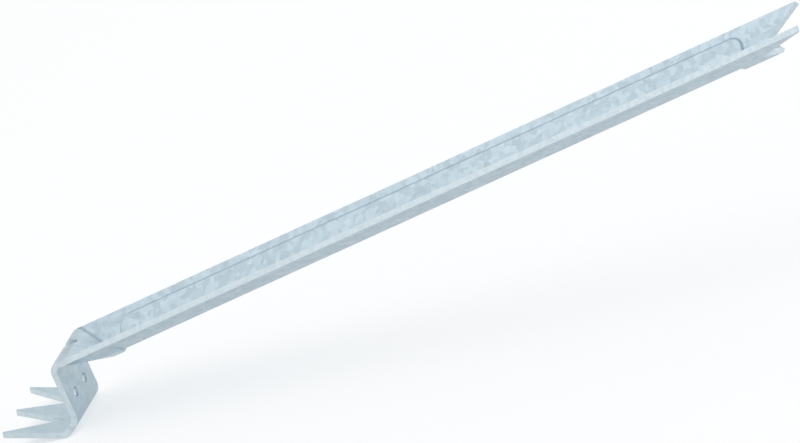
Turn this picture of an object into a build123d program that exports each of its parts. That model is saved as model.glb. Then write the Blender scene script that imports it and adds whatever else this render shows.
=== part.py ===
from build123d import *
from math import cos, radians, sin, tan
import os

# Steel joist bridging: one strip of galvanised sheet, folded from end to end.
# A vertical tab lies flat on a joist and is nailed through two holes. Below it the strip
# folds back into a leg with three prongs, and above it folds over into a long V strut.
# Origin: midway between the nail holes, on the face of the tab that touches the joist.
# +X runs from the joist along the span, Y is across the strip, +Z is up.

# Sheet
sheet = 2.7

# Strut: a V channel that opens upwards
strut_length = 404.0
strut_rise = 11.7
channel_width = 28.4
flange_slope = 38.0
root_radius = 1.6

# Ramp: the flat facet that closes the channel below the upper fold
ramp_slope = 33.0

# How far along the strut the flanges' edges take to turn from upright to square
edge_run_out = 9.0

# Pressed panel along the bottom of the channel
panel_rise = 1.1
panel_margin = 4.0
panel_corner = 6.0
panel_edge_radius = 1.0
panel_start = 28.5
panel_end_gap = 35.0

# Prongs at the free end of the strut; the one on the -Y side is longer by the skew
strut_prong_length = 21.8
strut_prong_skew = 11.5
strut_prong_base = 11.8
root_prong_length = 6.3

# Tab with its nail holes, and the fold above it; it is as wide as the channel's mouth
tab_height = 31.6
nail_hole_diameter = 4.4
nail_hole_spacing = 11.8
nail_hole_drop = 18.7
upper_fold_radius = 3.2

# Slot across the upper fold
slot_width = 6.0
slot_length = 10.4
slot_offset = 3.1

# Leg with its prongs, and the fold above it, round which the strip widens
leg_length = 32.5
leg_width = 38.0
leg_lift = 12.9
lower_fold_radius = 4.6
flare_reach = 4.2
leg_prong_length = 25.5
leg_prong_base = 11.5

# Blunt end of every prong
prong_tip = 0.7

# How far a cutter reaches past what it cuts, and how far back round the fold a form starts
overrun = 5.0
fold_lead = 40.0

# Angles in the side view
rise = radians(strut_rise)
slope = radians(flange_slope)
ramp_angle = radians(ramp_slope)
lift = radians(leg_lift)

# Channel: heights are square to the strut, from the line where the inner faces meet
half_channel = channel_width / 2
channel_depth = half_channel * tan(slope)
flange_reach = half_channel / cos(slope)

# Upper fold: its outer arc touches the joist's face, the flanges' edges and the ramp
upper_outer_radius = upper_fold_radius + sheet
upper_turn = 90 - strut_rise
upper_tangent = upper_outer_radius * tan(radians(upper_turn / 2))
strut_start = Vector(upper_tangent * cos(rise), nail_hole_drop + upper_tangent * sin(rise))
upper_centre = strut_start + Vector(sin(rise), -cos(rise)) * upper_outer_radius

# Lower fold: its inner arc touches the joist's face and the top of the leg
lower_turn = 90 + leg_lift
lower_tangent = lower_fold_radius * tan(radians(lower_turn / 2))
lower_centre = Vector(-lower_fold_radius, nail_hole_drop - tab_height + lower_tangent)
leg_direction = Vector(-cos(lift), sin(lift))
leg_start = lower_centre - Vector(sin(lift), cos(lift)) * lower_fold_radius
leg_tips = leg_start + leg_direction * (leg_length - lower_tangent)

# Stations along the strut, from the end of the upper fold
strut_end = strut_length - upper_tangent
panel_from = panel_start - upper_tangent
panel_to = strut_end - panel_end_gap
prong_root = strut_end - strut_prong_length
long_tip = strut_end + strut_prong_skew / 2
short_tip = strut_end - strut_prong_skew / 2


def root_point(depth):
    """Middle of the channel's section, at a depth below its inner faces."""
    return (0, -depth / cos(slope))


def flange_point(reach, depth):
    """Point of the section: a reach up the flange, at a depth below its inner face."""
    return (reach * cos(slope) + depth * sin(slope), reach * sin(slope) - depth * cos(slope))


def prism(right_side, start, end):
    """Solid along the strut whose section is the given points and their mirror image."""
    left_side = [(-y, z) for y, z in reversed(right_side) if y > 0]
    section = make_face(Polyline(*right_side, *left_side, close=True))
    return extrude(Plane.YZ.offset(start) * section, end - start)


def cut_both_sides(solid, cutter):
    """Take a cutter and its mirror image across the strip away from a solid."""
    return solid - cutter - mirror(cutter, Plane.XZ)


def above_ramp(depth, start, end):
    """Solid above the upper fold and the ramp that runs on from it, at a depth below their face."""
    centre = Vector(0, channel_depth - upper_outer_radius)
    fold = CenterArc(centre, upper_outer_radius - depth, 90 - ramp_slope, ramp_slope + fold_lead)
    ramp_foot = fold @ 0 + Vector(1, -tan(ramp_angle)) * end
    top = channel_depth + end
    rest = Polyline(fold @ 1, (start, (fold @ 1).Y), (start, top), (ramp_foot.X, top), ramp_foot, fold @ 0)
    return extrude(Plane.XZ * make_face([fold, rest]), channel_width, both=True)


def round_folds(block, radius):
    """Round the root line and the two creases that meet it at the foot of the ramp."""
    middle = block.vertices().filter_by(lambda corner: abs(corner.Y) < 1e-6)
    foot = middle.group_by(Axis.Z)[0].sort_by(Axis.X)[0]
    folds = [edge for edge in block.edges() if edge.distance_to(foot) < 1e-6]
    return fillet(folds, radius)


def channel_form(depth, start, end):
    """Filled form of the channel and its ramp at a depth, wider than the channel."""
    corners = [root_point(depth), flange_point(flange_reach + overrun, depth)]
    form = prism(corners, start, end) & above_ramp(depth, start - overrun, end)
    return round_folds(form, root_radius + depth)


def make_channel():
    """V channel with its ramp: a filled form of the outer faces less one of the inner faces."""
    outside = channel_form(sheet, -overrun, long_tip)
    inside = channel_form(0, -2 * overrun, long_tip + overrun)
    return outside - inside


def on_layer(face, depth):
    """Whether a flat face lies at a depth below the inner faces."""
    centre = face.center()
    return abs(abs(centre.Y) * sin(slope) - centre.Z * cos(slope) - depth) < 1e-6


def panel_layer(shallow, deep, fold_radius):
    """Layer with the panel's outline, between two depths below the inner faces."""
    reach = flange_reach - panel_margin
    corners = [root_point(deep), flange_point(reach, deep), flange_point(reach, shallow), root_point(shallow)]
    layer = prism(corners, panel_from, panel_to)
    upright = [edge for edge in layer.edges() if abs(edge.length - (deep - shallow)) < 1e-6]
    layer = fillet(upright, panel_corner)
    root_z = root_point(shallow)[1]
    root = [edge for edge in layer.edges() if abs(edge.center().Y) + abs(edge.center().Z - root_z) < 1e-6]
    layer = fillet(root, fold_radius)
    crown = layer.faces().filter_by(GeomType.CYLINDER).sort_by(SortBy.AREA)[-1]
    flats = [face for face in layer.faces() if on_layer(face, shallow)]
    edges = [edge for face in [crown, *flats] for edge in face.edges()]
    rim = [edge for edge in edges if sum(edge.is_same(other) for other in edges) == 1]
    return fillet(rim, panel_edge_radius)


def press_panel(channel):
    """The panel stands up inside the channel and leaves a hollow of the same depth below."""
    raised = panel_layer(-panel_rise, sheet / 2, root_radius - panel_rise)
    hollow = panel_layer(sheet - panel_rise, sheet + overrun, root_radius + sheet - panel_rise)
    return channel + raised - hollow


def prong_notch(tip):
    """Space past the +Y flange's prong, whose tip is at a station, and past half of the root's."""
    flange = Plane((0, 0, 0), x_dir=(1, 0, 0), z_dir=(0, -sin(slope), cos(slope)))
    root_tip = prong_root + root_prong_length
    past_end = long_tip + overrun
    outline = Polyline(
        (past_end, flange_reach + overrun),
        (tip, flange_reach + overrun),
        (tip, flange_reach - prong_tip),
        (prong_root, flange_reach - strut_prong_base),
        (root_tip, prong_tip / 2),
        (root_tip, -overrun),
        (past_end, -overrun),
        close=True,
    )
    notch = extrude(flange * make_face(outline), 2 * overrun, both=True)
    half_space = Pos(strut_end, strut_length / 2, 0) * Box(strut_length, strut_length, strut_length)
    return notch & half_space


def cut_strut_prongs(channel):
    """A long prong at each flange's edge and a short one at the root."""
    return channel - prong_notch(short_tip) - mirror(prong_notch(long_tip), Plane.XZ)


def edge_section(tilt):
    """Section of the space beside a flange, bounded by its edge at a tilt from upright."""
    edge = Vector(0, sin(tilt), -cos(tilt)) * 2 * overrun
    outward = Vector(0, cos(tilt), sin(tilt)) * 2 * overrun
    middle = Vector(0, half_channel, channel_depth)
    corners = [middle - edge, middle + edge, middle + edge + outward, middle - edge + outward]
    return make_face(Polyline(*corners, close=True))


def trim_channel(channel):
    """Square the channel off at the upper fold, and turn the flanges' edges upright there."""
    square_to_flange = Pos(edge_run_out, 0, 0) * edge_section(slope)
    beside = loft([edge_section(0), square_to_flange], ruled=True)
    beside = beside + extrude(square_to_flange, long_tip, dir=(1, 0, 0))
    return cut_both_sides(split(channel, Plane.YZ, keep=Keep.TOP), beside)


def place_strut(channel):
    """From heights square to the strut to the part's own frame."""
    return Pos(strut_start.X, 0, strut_start.Y) * Rot(0, -strut_rise, 0) * Pos(0, 0, -channel_depth) * channel


def side_line(depth):
    """Edges of the folded strip seen from the side, at a depth below its joist-side face."""
    upper = CenterArc(upper_centre, upper_outer_radius - depth, 180 - upper_turn, upper_turn)
    lower = CenterArc(lower_centre, lower_fold_radius + depth, 0, -lower_turn)
    leg = Line(lower @ 1, lower @ 1 + leg_direction * (leg_length - lower_tangent))
    return [upper, Line(upper @ 1, lower @ 0), lower, leg]


def make_strip():
    """Upper fold, tab, lower fold and leg, at the leg's full width."""
    top = side_line(0)
    under = side_line(sheet)
    ends = [Line(top[0] @ 0, under[0] @ 0), Line(top[-1] @ 1, under[-1] @ 1)]
    section = make_face(top + under + ends)
    return extrude(Plane.XZ * section, leg_width / 2, both=True)


def neck_strip(strip):
    """Narrow the strip round the lower fold to the channel's width, along a smooth curve."""
    middle = radians(lower_turn / 2)
    across_fold = Plane(
        Vector(lower_centre.X, 0, lower_centre.Y),
        x_dir=(sin(middle), 0, cos(middle)),
        z_dir=(cos(middle), 0, -sin(middle)),
    )
    half = leg_width / 2
    reach = leg_length + tab_height
    flare = Bezier((-flare_reach, half), (0, half), (0, half_channel), (flare_reach, half_channel))
    corners = [(reach, half_channel), (reach, half + overrun), (-flare_reach, half + overrun)]
    rest = Polyline(flare @ 1, *corners, flare @ 0)
    return cut_both_sides(strip, extrude(across_fold * make_face([flare, rest]), reach, both=True))


def cut_leg_prongs(strip):
    """Two outer prongs with straight outer edges and one between them."""
    leg_plane = Plane(
        Vector(leg_tips.X, 0, leg_tips.Y),
        x_dir=(cos(lift), 0, -sin(lift)),
        z_dir=(sin(lift), 0, cos(lift)),
    )
    half = leg_width / 2
    outline = Polyline(
        (-overrun, half - prong_tip),
        (0, half - prong_tip),
        (leg_prong_length, half - leg_prong_base),
        (0, prong_tip / 2),
        (-overrun, prong_tip / 2),
        close=True,
    )
    return cut_both_sides(strip, extrude(leg_plane * make_face(outline), 2 * overrun, both=True))


def cut_holes(strip):
    """Nail holes side by side in the tab, and the slot across the upper fold."""
    for side in (-1, 1):
        nail = Plane.YZ * Pos(side * nail_hole_spacing / 2, 0) * Circle(nail_hole_diameter / 2)
        strip = strip - extrude(nail, sheet + overrun, both=True)
    middle = radians(180 - (upper_turn + ramp_slope) / 2)
    fold_plane = Plane(
        Vector(upper_centre.X, slot_offset, upper_centre.Y),
        x_dir=(sin(middle), 0, -cos(middle)),
        z_dir=(cos(middle), 0, sin(middle)),
    )
    slot = extrude(fold_plane * SlotOverall(slot_length, slot_width), upper_outer_radius + overrun)
    return strip - slot


channel = trim_channel(cut_strut_prongs(press_panel(make_channel())))
strip = cut_leg_prongs(neck_strip(make_strip()))
bridging = cut_holes(strip + place_strut(channel))

os.makedirs("parts", exist_ok=True)
export_step(bridging, "parts/bridging_strut.step")
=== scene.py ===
import bpy
from math import cos, radians, sin, tau
from mathutils import Matrix, Vector


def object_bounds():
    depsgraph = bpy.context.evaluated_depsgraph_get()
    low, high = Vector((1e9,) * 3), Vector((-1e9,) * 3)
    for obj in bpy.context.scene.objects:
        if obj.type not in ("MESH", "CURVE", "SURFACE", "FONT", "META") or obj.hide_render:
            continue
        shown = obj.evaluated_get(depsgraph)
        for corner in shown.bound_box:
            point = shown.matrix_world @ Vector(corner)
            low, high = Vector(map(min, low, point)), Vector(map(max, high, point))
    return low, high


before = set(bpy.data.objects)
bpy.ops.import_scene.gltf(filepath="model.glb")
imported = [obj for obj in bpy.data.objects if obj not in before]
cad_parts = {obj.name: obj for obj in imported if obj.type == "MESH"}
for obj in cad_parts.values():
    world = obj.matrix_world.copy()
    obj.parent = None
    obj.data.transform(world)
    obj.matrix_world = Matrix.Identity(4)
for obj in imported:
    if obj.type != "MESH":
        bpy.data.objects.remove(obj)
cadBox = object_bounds()
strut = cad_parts["bridging_strut"]
print("loaded the strut")

scene = bpy.context.scene
scene.view_settings.view_transform = "Standard"


# camera, at the drawing's angle: the view is turned about its own axis too
shot = {
    "azimuth": 29.1,       # degrees
    "elevation": 23.12,
    "roll": -24.48,
    "aim": (0.18599, -0.01049, 0.04935),
    "across": 0.3415,      # width of the frame at the object
    "lens": 900.0,         # so long that the view is nearly parallel, as it is drawn
    "sensor": 36.0,
}


def placeCamera(s):
    a, e, r = radians(s["azimuth"]), radians(s["elevation"]), radians(s["roll"])
    level = Vector((cos(a), sin(a), 0))
    up = Vector((-sin(a) * sin(e), cos(a) * sin(e), cos(e)))
    back = Vector((sin(a) * cos(e), -cos(a) * cos(e), sin(e)))
    right = level * cos(r) + up * sin(r)
    top = up * cos(r) - level * sin(r)
    data = bpy.data.cameras.new("shot")
    data.lens = s["lens"]
    data.sensor_width = s["sensor"]
    camera = bpy.data.objects.new("shot", data)
    scene.collection.objects.link(camera)
    distance = s["lens"] / s["sensor"] * s["across"]
    turn = Matrix((right, top, back)).transposed().to_4x4()
    camera.matrix_world = Matrix.Translation(Vector(s["aim"]) + back * distance) @ turn
    scene.camera = camera


placeCamera(shot)
print("camera placed")


# shader helpers: what goes into a socket is a number, a tuple or another node's socket
def plug(tree, socket, value):
    if isinstance(value, bpy.types.NodeSocket):
        tree.links.new(value, socket)
    else:
        socket.default_value = value


def addNode(tree, kind, ins=None, **settings):
    node = tree.nodes.new(kind)
    for name, value in settings.items():
        setattr(node, name, value)
    for key, value in (ins or {}).items():
        plug(tree, node.inputs[key], value)
    return node


def doMath(tree, operation, *values, clamp=False):
    ins = dict(enumerate(values))
    node = addNode(tree, "ShaderNodeMath", ins, operation=operation, use_clamp=clamp)
    return node.outputs[0]


def doVector(tree, operation, *values):
    node = addNode(tree, "ShaderNodeVectorMath", dict(enumerate(values)), operation=operation)
    return node.outputs["Value" if operation in ("DOT_PRODUCT", "LENGTH") else "Vector"]


def scaleVector(tree, vector, size):
    ins = {"Vector": vector, "Scale": size}
    return addNode(tree, "ShaderNodeVectorMath", ins, operation="SCALE").outputs["Vector"]


def splitVector(tree, vector):
    return addNode(tree, "ShaderNodeSeparateXYZ", {0: vector}).outputs


def joinVector(tree, x, y, z):
    return addNode(tree, "ShaderNodeCombineXYZ", {0: x, 1: y, 2: z}).outputs[0]


def addNoise(tree, vector, scale, detail, roughness=0.5):
    ins = {"Vector": vector, "Scale": scale, "Detail": detail, "Roughness": roughness}
    return addNode(tree, "ShaderNodeTexNoise", ins)


def fade(tree, value, low, high, toLow=0.0, toHigh=1.0):
    ins = {"Value": value, "From Min": low, "From Max": high, "To Min": toLow, "To Max": toHigh}
    node = addNode(tree, "ShaderNodeMapRange", ins, interpolation_type="SMOOTHSTEP")
    return node.outputs[0]


# a Mix node has a set of sockets for each kind: first, second and result
mixSockets = {"RGBA": (6, 7, 2), "FLOAT": (2, 3, 0)}


def blend(tree, kind, factor, first, second):
    one, two, result = mixSockets[kind]
    node = addNode(tree, "ShaderNodeMix", {0: factor, one: first, two: second}, data_type=kind)
    return node.outputs[result]


def both(tree, first, second):
    return doMath(tree, "MULTIPLY", first, second)


def either(tree, first, second):
    return doMath(tree, "MAXIMUM", first, second)


# a group's inputs have the number that they start from, or None for a vector; of its outputs
# only Normal is a vector
def newGroup(name, takes, gives):
    group = bpy.data.node_groups.new(name, "ShaderNodeTree")
    for label, number in takes.items():
        kind = "NodeSocketVector" if number is None else "NodeSocketFloat"
        socket = group.interface.new_socket(name=label, in_out="INPUT", socket_type=kind)
        if number is not None:
            socket.default_value = number
    for label in gives:
        kind = "NodeSocketVector" if label == "Normal" else "NodeSocketFloat"
        group.interface.new_socket(name=label, in_out="OUTPUT", socket_type=kind)
    return group, group.nodes.new("NodeGroupInput").outputs, group.nodes.new("NodeGroupOutput").inputs


def placeGroup(tree, group, ins):
    return addNode(tree, "ShaderNodeGroup", ins, node_tree=group).outputs


# zinc crystals: each has its own tone, its own feathering and a slight lean of its own
spangleLook = {
    "wobble": 700.0,                # how finely the crystals' borders wander
    "feather": (1.0, 0.15, 0.15),   # the feathering is drawn out along one way
    "border": 0.05,                 # as a share of a crystal
}


def zincSpangle(look):
    group, given, out = newGroup(
        "zincSpangle",
        {"Vector": None, "Normal": None, "Crystals": 200.0, "Raggedness": 0.0012,
         "Feathering": 900.0, "Tilt": 0.1},
        ["Tone", "Feather", "Border", "Normal"],
    )
    place = given["Vector"]
    middle = (0.5, 0.5, 0.5)        # of a random colour, which is then a lean either way
    wobble = addNoise(group, place, look["wobble"], 4.0).outputs["Color"]
    centred = doVector(group, "SUBTRACT", wobble, middle)
    push = scaleVector(group, centred, given["Raggedness"])
    where = {"Vector": doVector(group, "ADD", place, push), "Scale": given["Crystals"]}
    crystal = addNode(group, "ShaderNodeTexVoronoi", where, feature="F1").outputs["Color"]
    edges = addNode(group, "ShaderNodeTexVoronoi", where, feature="DISTANCE_TO_EDGE")
    parts = addNode(group, "ShaderNodeSeparateColor", {0: crystal})
    turn = {"Vector": place, "Axis": crystal, "Angle": both(group, parts.outputs[1], tau)}
    turned = addNode(group, "ShaderNodeVectorRotate", turn, rotation_type="AXIS_ANGLE")
    drawn = doVector(group, "MULTIPLY", turned.outputs[0], look["feather"])
    lean = doVector(group, "SUBTRACT", crystal, middle)
    leaning = doVector(group, "ADD", given["Normal"], scaleVector(group, lean, given["Tilt"]))
    plug(group, out["Tone"], parts.outputs[0])
    plug(group, out["Feather"], addNoise(group, drawn, given["Feathering"], 3.0).outputs[0])
    fromBorder = edges.outputs["Distance"]
    plug(group, out["Border"], fade(group, fromBorder, 0.0, look["border"], 1.0, 0.0))
    plug(group, out["Normal"], doVector(group, "NORMALIZE", leaning))
    return group


# fine lines left along the strip by rolling, and sparser, deeper ones from the press
lineLook = {"denser": 1.9, "scratchFrom": 0.62, "scratchFull": 0.72}


def millLines(look):
    group, given, out = newGroup(
        "millLines",
        {"Vector": None, "Lines": 700.0, "Length": 0.02},
        ["Fine", "Scratch"],
    )
    x, y, z = splitVector(group, given["Vector"])
    along = both(group, x, given["Length"])
    drawn = joinVector(group, along, y, both(group, z, given["Length"]))
    fine = addNoise(group, drawn, given["Lines"], 4.0, 0.6).outputs[0]
    sparse = addNoise(group, drawn, both(group, given["Lines"], look["denser"]), 1.0).outputs[0]
    plug(group, out["Fine"], fine)
    plug(group, out["Scratch"], fade(group, sparse, look["scratchFrom"], look["scratchFull"]))
    return group


# cut faces are square to the sheet: their normal lies across the sheet's own normal there
cutLook = {
    "square": (0.22, 0.42),         # how far a face's normal is the sheet's: less is a cut face
    "sideways": (0.66, 0.75),       # how far it is the Y axis: more is a cut face
}


def cutFaces(look):
    group, given, out = newGroup(
        "cutFaces",
        {"Vector": None, "Normal": None, "Strut Up": None, "Leg Up": None,
         "Strut From": 0.01, "Leg Until": -0.01, "Tab Top": 0.01, "Tab Foot": -0.01},
        ["Mask"],
    )

    def across(sheetNormal):
        onSheet = doVector(group, "DOT_PRODUCT", given["Normal"], sheetNormal)
        return fade(group, doMath(group, "ABSOLUTE", onSheet), *look["square"], 1.0, 0.0)

    x, y, z = splitVector(group, given["Vector"])
    upX, upY, upZ = splitVector(group, given["Strut Up"])
    flange = joinVector(group, upX, both(group, doMath(group, "SIGN", y), upY), upZ)
    pastFold = doMath(group, "GREATER_THAN", x, given["Strut From"])
    onLeg = doMath(group, "LESS_THAN", x, given["Leg Until"])
    offLeg = doMath(group, "SUBTRACT", 1.0, onLeg)
    belowTop = doMath(group, "LESS_THAN", z, given["Tab Top"])
    aboveFoot = doMath(group, "GREATER_THAN", z, given["Tab Foot"])
    onTab = both(group, both(group, belowTop, aboveFoot), offLeg)
    strutCut = both(group, pastFold, across(flange))
    legCut = both(group, onLeg, across(given["Leg Up"]))
    tabCut = both(group, onTab, across((1.0, 0.0, 0.0)))
    facing = doMath(group, "ABSOLUTE", splitVector(group, given["Normal"])[1])
    sideCut = fade(group, facing, *look["sideways"])
    mask = either(group, either(group, strutCut, legCut), either(group, tabCut, sideCut))
    plug(group, out["Mask"], mask)
    return group


# a sheared edge: burnished and torn bands wander along it, and the tear has a fine grain
shearLook = {"tornFrom": 0.4, "tornFull": 0.62, "smoothGrain": 0.25}


def shearedEdge(look):
    group, given, out = newGroup(
        "shearedEdge",
        {"Vector": None, "Bands": 450.0, "Grain": 2600.0},
        ["Torn", "Grain"],
    )
    bands = addNoise(group, given["Vector"], given["Bands"], 3.0).outputs[0]
    grain = addNoise(group, given["Vector"], given["Grain"], 2.0).outputs[0]
    torn = fade(group, bands, look["tornFrom"], look["tornFull"])
    share = doMath(group, "MULTIPLY_ADD", torn, 1.0 - look["smoothGrain"], look["smoothGrain"])
    plug(group, out["Torn"], torn)
    plug(group, out["Grain"], both(group, grain, share))
    return group


# round the folds the zinc is stretched: it dulls there, and fine lines open along the fold
stretchLook = {
    "fadesBy": 1.25,                # times the fold's outer radius
    "drawnOut": 0.06,               # the lines are longer along the fold
}


def foldStretch(look):
    group, given, out = newGroup(
        "foldStretch",
        {"Vector": None, "Fold Centre": None, "Outer Radius": 0.006, "Lines": 3000.0},
        ["Mask", "Cracks"],
    )
    away = doVector(group, "SUBTRACT", given["Vector"], given["Fold Centre"])
    flat = doVector(group, "MULTIPLY", away, (1.0, 0.0, 1.0))
    radius = doVector(group, "LENGTH", flat)
    end = both(group, given["Outer Radius"], look["fadesBy"])
    inside = fade(group, radius, given["Outer Radius"], end, 1.0, 0.0)
    along = doVector(group, "MULTIPLY", away, (1.0, look["drawnOut"], 1.0))
    cracks = addNoise(group, along, given["Lines"], 2.0).outputs[0]
    plug(group, out["Mask"], inside)
    plug(group, out["Cracks"], both(group, inside, cracks))
    return group


# painted shade: the colour darkens along the panel's outline, where the press drew it, and in the
# ramp's creases; the worked zinc there is also rougher
pressShadeLook = {
    "innerSide": -0.0012,           # off the flange: above it a face is an inner one
    "outerShare": 0.25,             # the outer faces are marked less
    "core": 0.2,                    # of the mark's width, at full strength
}


def pressShadeLines(look):
    group, given, out = newGroup(
        "pressShadeLines",
        {"Vector": None, "Root": None, "Along": None, "Up Flange": None, "Off Flange": None,
         "Off Ramp": None, "Ramp Lift": 0.01, "Panel Middle": 0.2, "Panel Half": 0.17,
         "Panel Reach": 0.014, "Corner": 0.006, "Width": 0.001},
        ["Panel", "Crease"],
    )
    x, y, z = splitVector(group, given["Vector"])
    folded = joinVector(group, x, doMath(group, "ABSOLUTE", y), z)
    place = doVector(group, "SUBTRACT", folded, given["Root"])
    width, corner = given["Width"], given["Corner"]

    def measure(name):
        return doVector(group, "DOT_PRODUCT", place, given[name])

    def less(first, second):
        return doMath(group, "SUBTRACT", first, second)

    def mark(distance):
        core = both(group, width, look["core"])
        return fade(group, doMath(group, "ABSOLUTE", distance), core, width, 1.0, 0.0)

    # the panel's outline is a rectangle with round corners, on the flange
    fromMiddle = doMath(group, "ABSOLUTE", less(measure("Along"), given["Panel Middle"]))
    endways = less(fromMiddle, less(given["Panel Half"], corner))
    sideways = less(measure("Up Flange"), less(given["Panel Reach"], corner))
    squares = [doMath(group, "POWER", either(group, way, 0.0), 2.0) for way in (endways, sideways)]
    outside = doMath(group, "SQRT", doMath(group, "ADD", *squares))
    inside = doMath(group, "MINIMUM", either(group, endways, sideways), 0.0)
    outline = less(doMath(group, "ADD", outside, inside), corner)

    aboveFlange = measure("Off Flange")
    inner = doMath(group, "GREATER_THAN", aboveFlange, look["innerSide"])
    share = doMath(group, "MULTIPLY_ADD", inner, 1.0 - look["outerShare"], look["outerShare"])
    aboveRamp = less(measure("Off Ramp"), given["Ramp Lift"])
    plug(group, out["Panel"], both(group, mark(outline), share))
    plug(group, out["Crease"], both(group, mark(aboveRamp), mark(aboveFlange)))
    return group


spangle = zincSpangle(spangleLook)
lines = millLines(lineLook)
cuts = cutFaces(cutLook)
sheared = shearedEdge(shearLook)
stretch = foldStretch(stretchLook)
pressShading = pressShadeLines(pressShadeLook)
print("shader groups built")


# what the finish has to know of the sheet: degrees, and metres in the part's frame
sheet = {
    "strutRise": 11.7,
    "flangeSlope": 38.0,
    "legLift": 12.9,
    "rampSlope": 33.0,
    "strutFrom": 0.012,             # along X
    "legUntil": -0.0056,
    "tabTop": 0.0135,
    "tabFoot": -0.007,
    "rampFoot": 0.01883,            # along the channel's root, from the end of the upper fold
    "channelRoot": (0.00695, 0.0, 0.00881),
    "panelFrom": 0.0237,            # along the channel's root
    "panelTo": 0.3642,
    "panelReach": 0.01402,          # up the flange
    "panelCorner": 0.006,
    "folds": [
        {"centre": (0.0059, 0.0, 0.0139), "radius": 0.0059},
        {"centre": (-0.0046, 0.0, -0.0071), "radius": 0.0073},
    ],
}

# hot-dip galvanised steel: a share is how much of the colour shows, rough adds to roughness
zinc = {
    "darkCrystal": (0.418, 0.522, 0.587, 1.0),
    "lightCrystal": (0.527, 0.633, 0.694, 1.0),
    "featherShare": 0.5,            # the rest of a crystal's tone is its own
    "featherFade": (0.3, 0.7),
    "cloud": {
        "colour": (0.467, 0.58, 0.643, 1.0), "scale": 28.0,
        "fade": (0.35, 0.65), "shares": (0.15, 0.5),
    },
    "stretched": {"colour": (0.511, 0.612, 0.663, 1.0), "share": 0.6, "rough": 0.06},
    "scratched": {"colour": (0.65, 0.738, 0.785, 1.0), "share": 0.2, "rough": -0.05},
    # painted shade along the panel's outline and the ramp's creases: a darker colour, with a little
    # more roughness
    "worked": {"colour": (0.22, 0.31, 0.38, 1.0), "share": 0.55, "rough": 0.08},
    "markWidth": 0.0009,
    "cutBright": (0.63, 0.722, 0.77, 1.0),
    "cutTorn": (0.59, 0.687, 0.74, 1.0),
    "cutRough": 0.34,
    "tornRough": 0.10,
    "metallic": 0.9,
    "roughness": 0.40,
    "toneRough": -0.12,
    "featherRough": 0.10,
    "crystals": 360.0,              # per metre
    "feathering": 800.0,
    "tilt": 0.12,                   # how far the crystals' faces lean
    "relief": 0.00001,              # metres, for a height of one
    "heights": {"feather": 0.6, "border": -0.35, "cracks": 0.8, "scratch": -0.5},
}


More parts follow.
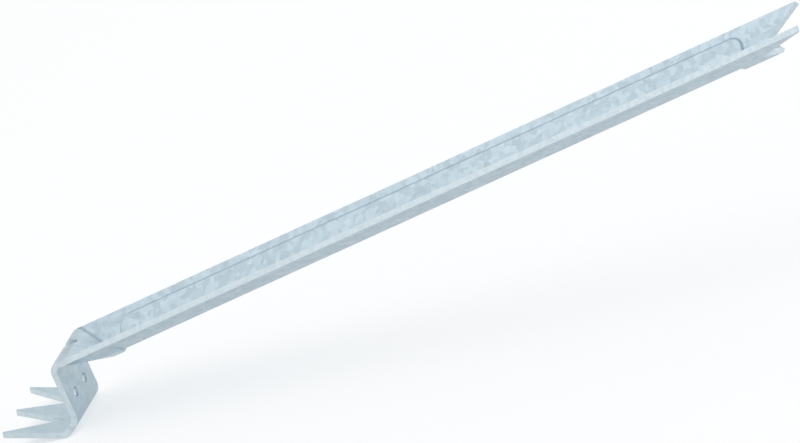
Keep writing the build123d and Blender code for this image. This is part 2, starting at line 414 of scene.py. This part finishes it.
def galvanisedSteel(z, s):
    material = bpy.data.materials.new("galvanisedSteel")
    material.use_nodes = True
    tree = material.node_tree
    shader = tree.nodes["Principled BSDF"]
    where = addNode(tree, "ShaderNodeTexCoord").outputs
    place = where["Object"]
    facing = addNode(tree, "ShaderNodeNewGeometry").outputs["Normal"]
    angles = ("strutRise", "flangeSlope", "legLift", "rampSlope")
    rise, slope, lift, fall = (radians(s[name]) for name in angles)
    offFlange = (-sin(rise) * cos(slope), -sin(slope), cos(rise) * cos(slope))
    upFlange = (-sin(rise) * sin(slope), cos(slope), cos(rise) * sin(slope))

    rolled = placeGroup(tree, lines, {"Vector": place})
    edge = placeGroup(tree, sheared, {"Vector": place})
    cut = placeGroup(tree, cuts, {
        "Vector": place, "Normal": where["Normal"],
        "Strut Up": offFlange, "Leg Up": (sin(lift), 0.0, cos(lift)),
        "Strut From": s["strutFrom"], "Leg Until": s["legUntil"],
        "Tab Top": s["tabTop"], "Tab Foot": s["tabFoot"],
    })["Mask"]
    crystals = placeGroup(tree, spangle, {
        "Vector": place, "Normal": facing, "Crystals": z["crystals"],
        "Feathering": z["feathering"],
        "Tilt": doMath(tree, "MULTIPLY_ADD", cut, -z["tilt"], z["tilt"]),      # none on cut faces
    })
    folds = [placeGroup(tree, stretch, {
        "Vector": place, "Fold Centre": fold["centre"], "Outer Radius": fold["radius"],
    }) for fold in s["folds"]]
    shadeLines = placeGroup(tree, pressShading, {
        "Vector": place, "Root": s["channelRoot"], "Along": (cos(rise), 0.0, sin(rise)),
        "Up Flange": upFlange, "Off Flange": offFlange,
        "Off Ramp": (sin(fall - rise), 0.0, cos(fall - rise)),
        "Ramp Lift": s["rampFoot"] * sin(fall),
        "Panel Middle": (s["panelFrom"] + s["panelTo"]) / 2,
        "Panel Half": (s["panelTo"] - s["panelFrom"]) / 2,
        "Panel Reach": s["panelReach"], "Corner": s["panelCorner"], "Width": z["markWidth"],
    })
    scratch = rolled["Scratch"]
    bent = either(tree, folds[0]["Mask"], folds[1]["Mask"])
    cracks = either(tree, folds[0]["Cracks"], folds[1]["Cracks"])
    # painted shade: where the press lines are, the colour is darkened
    worked = either(tree, shadeLines["Panel"], shadeLines["Crease"])

    # colour and roughness of the faces, layer by layer
    feather = fade(tree, crystals["Feather"], *z["featherFade"])
    tone = both(tree, crystals["Tone"], 1.0 - z["featherShare"])
    tone = doMath(tree, "MULTIPLY_ADD", feather, z["featherShare"], tone)
    face = blend(tree, "RGBA", tone, z["darkCrystal"], z["lightCrystal"])
    cloud = z["cloud"]
    clouds = addNoise(tree, place, cloud["scale"], 2.0).outputs[0]
    cloudShare = fade(tree, clouds, *cloud["fade"], *cloud["shares"])
    face = blend(tree, "RGBA", cloudShare, face, cloud["colour"])
    rough = doMath(tree, "MULTIPLY_ADD", crystals["Tone"], z["toneRough"], z["roughness"])
    rough = doMath(tree, "MULTIPLY_ADD", crystals["Feather"], z["featherRough"], rough)
    # the last layer paints shade into the panel's outline and the ramp's creases
    for name, mask in (("stretched", bent), ("scratched", scratch), ("worked", worked)):
        layer = z[name]
        face = blend(tree, "RGBA", both(tree, mask, layer["share"]), face, layer["colour"])
        rough = doMath(tree, "MULTIPLY_ADD", mask, layer["rough"], rough)

    # the cut faces have no crystals
    edgeColour = blend(tree, "RGBA", edge["Torn"], z["cutBright"], z["cutTorn"])
    edgeRough = doMath(tree, "MULTIPLY_ADD", edge["Torn"], z["tornRough"], z["cutRough"])
    height = rolled["Fine"]
    raised = {"feather": crystals["Feather"], "border": crystals["Border"],
              "cracks": cracks, "scratch": scratch}
    for name, mask in raised.items():
        height = doMath(tree, "MULTIPLY_ADD", mask, z["heights"][name], height)
    bump = addNode(tree, "ShaderNodeBump", {
        "Strength": 1.0, "Distance": z["relief"], "Normal": crystals["Normal"],
        "Height": blend(tree, "FLOAT", cut, height, edge["Grain"]),
    })
    plug(tree, shader.inputs["Metallic"], z["metallic"])
    plug(tree, shader.inputs["Base Color"], blend(tree, "RGBA", cut, face, edgeColour))
    plug(tree, shader.inputs["Roughness"], blend(tree, "FLOAT", cut, rough, edgeRough))
    plug(tree, shader.inputs["Normal"], bump.outputs[0])
    return material


# the strut keeps its own solid; its arrises are softened as a press leaves them
body = {"arris": 0.00022, "sharperThan": 40.0, "weldWithin": 1e-6}


def dressStrut(b):
    strut.data.materials.clear()
    strut.data.materials.append(galvanisedSteel(zinc, sheet))
    weld = strut.modifiers.new("weld", "WELD")
    weld.merge_threshold = b["weldWithin"]
    soften = strut.modifiers.new("arris", "BEVEL")
    soften.width = b["arris"]
    soften.segments = 2
    soften.limit_method = "ANGLE"
    soften.angle_limit = radians(b["sharperThan"])
    soften.harden_normals = True


dressStrut(body)
print("strut dressed")


# floor, background and lamps
studio = {
    "floorColour": (0.80, 0.81, 0.82, 1.0),
    "floorRough": 0.9,
    "floorSize": 6.0,
    "floorGap": 0.0002,             # below the part's lowest point
    "floorGlow": 0.47,
    "edgeGlow": 0.66,               # far off, where the lamps don't reach, so that no horizon shows
    "glowRisesFrom": 0.5,           # from the middle of the floor
    "skyToLight": 0.5,
}
white = (1.0, 1.0, 1.0, 1.0)


def makeFloor(s):
    mesh = bpy.data.meshes.new("floor")
    h = s["floorSize"] / 2
    z = cadBox[0].z - s["floorGap"]
    mesh.from_pydata([(-h, -h, z), (h, -h, z), (h, h, z), (-h, h, z)], [], [(0, 1, 2, 3)])
    floor = bpy.data.objects.new("floor", mesh)
    scene.collection.objects.link(floor)
    material = bpy.data.materials.new("paleFloor")
    material.use_nodes = True
    tree = material.node_tree
    shader = tree.nodes["Principled BSDF"].inputs
    path = addNode(tree, "ShaderNodeLightPath").outputs
    seen = doMath(tree, "ADD", path["Is Camera Ray"], path["Is Glossy Ray"], clamp=True)
    away = doVector(tree, "LENGTH", addNode(tree, "ShaderNodeTexCoord").outputs["Object"])
    glow = fade(tree, away, s["glowRisesFrom"], h, s["floorGlow"], s["edgeGlow"])
    plug(tree, shader["Base Color"], s["floorColour"])
    plug(tree, shader["Roughness"], s["floorRough"])
    plug(tree, shader["Specular IOR Level"], 0.0)
    plug(tree, shader["Emission Color"], white)
    plug(tree, shader["Emission Strength"], both(tree, seen, glow))
    mesh.materials.append(material)


def makeSky(s):
    world = bpy.data.worlds.new("studio")
    scene.world = world
    world.use_nodes = True
    tree = world.node_tree
    sky = tree.nodes["Background"].inputs
    path = addNode(tree, "ShaderNodeLightPath").outputs
    seen = doMath(tree, "ADD", path["Is Camera Ray"], path["Is Glossy Ray"])
    seen = doMath(tree, "ADD", seen, path["Is Transmission Ray"], clamp=True)
    plug(tree, sky["Color"], white)
    plug(tree, sky["Strength"], blend(tree, "FLOAT", seen, s["skyToLight"], 1.0))


# the lamps' places are from the point that the camera aims at
lamps = [
    {"name": "key", "from": (0.85, 0.65, 1.1), "size": 3.0, "power": 6.0},
    {"name": "front", "from": (-0.62, -0.29, 1.22), "size": 1.2, "power": 1.5},
]


def makeLamp(lamp, aim):
    data = bpy.data.lights.new(lamp["name"], "AREA")
    data.shape = "DISK"
    data.size = lamp["size"]
    data.energy = lamp["power"]
    holder = bpy.data.objects.new(lamp["name"], data)
    scene.collection.objects.link(holder)
    holder.location = aim + Vector(lamp["from"])
    holder.rotation_mode = "QUATERNION"
    holder.rotation_quaternion = (aim - holder.location).to_track_quat("-Z", "Y")


makeFloor(studio)
makeSky(studio)
for lamp in lamps:
    makeLamp(lamp, Vector(shot["aim"]))
print("floor, sky and lamps made")
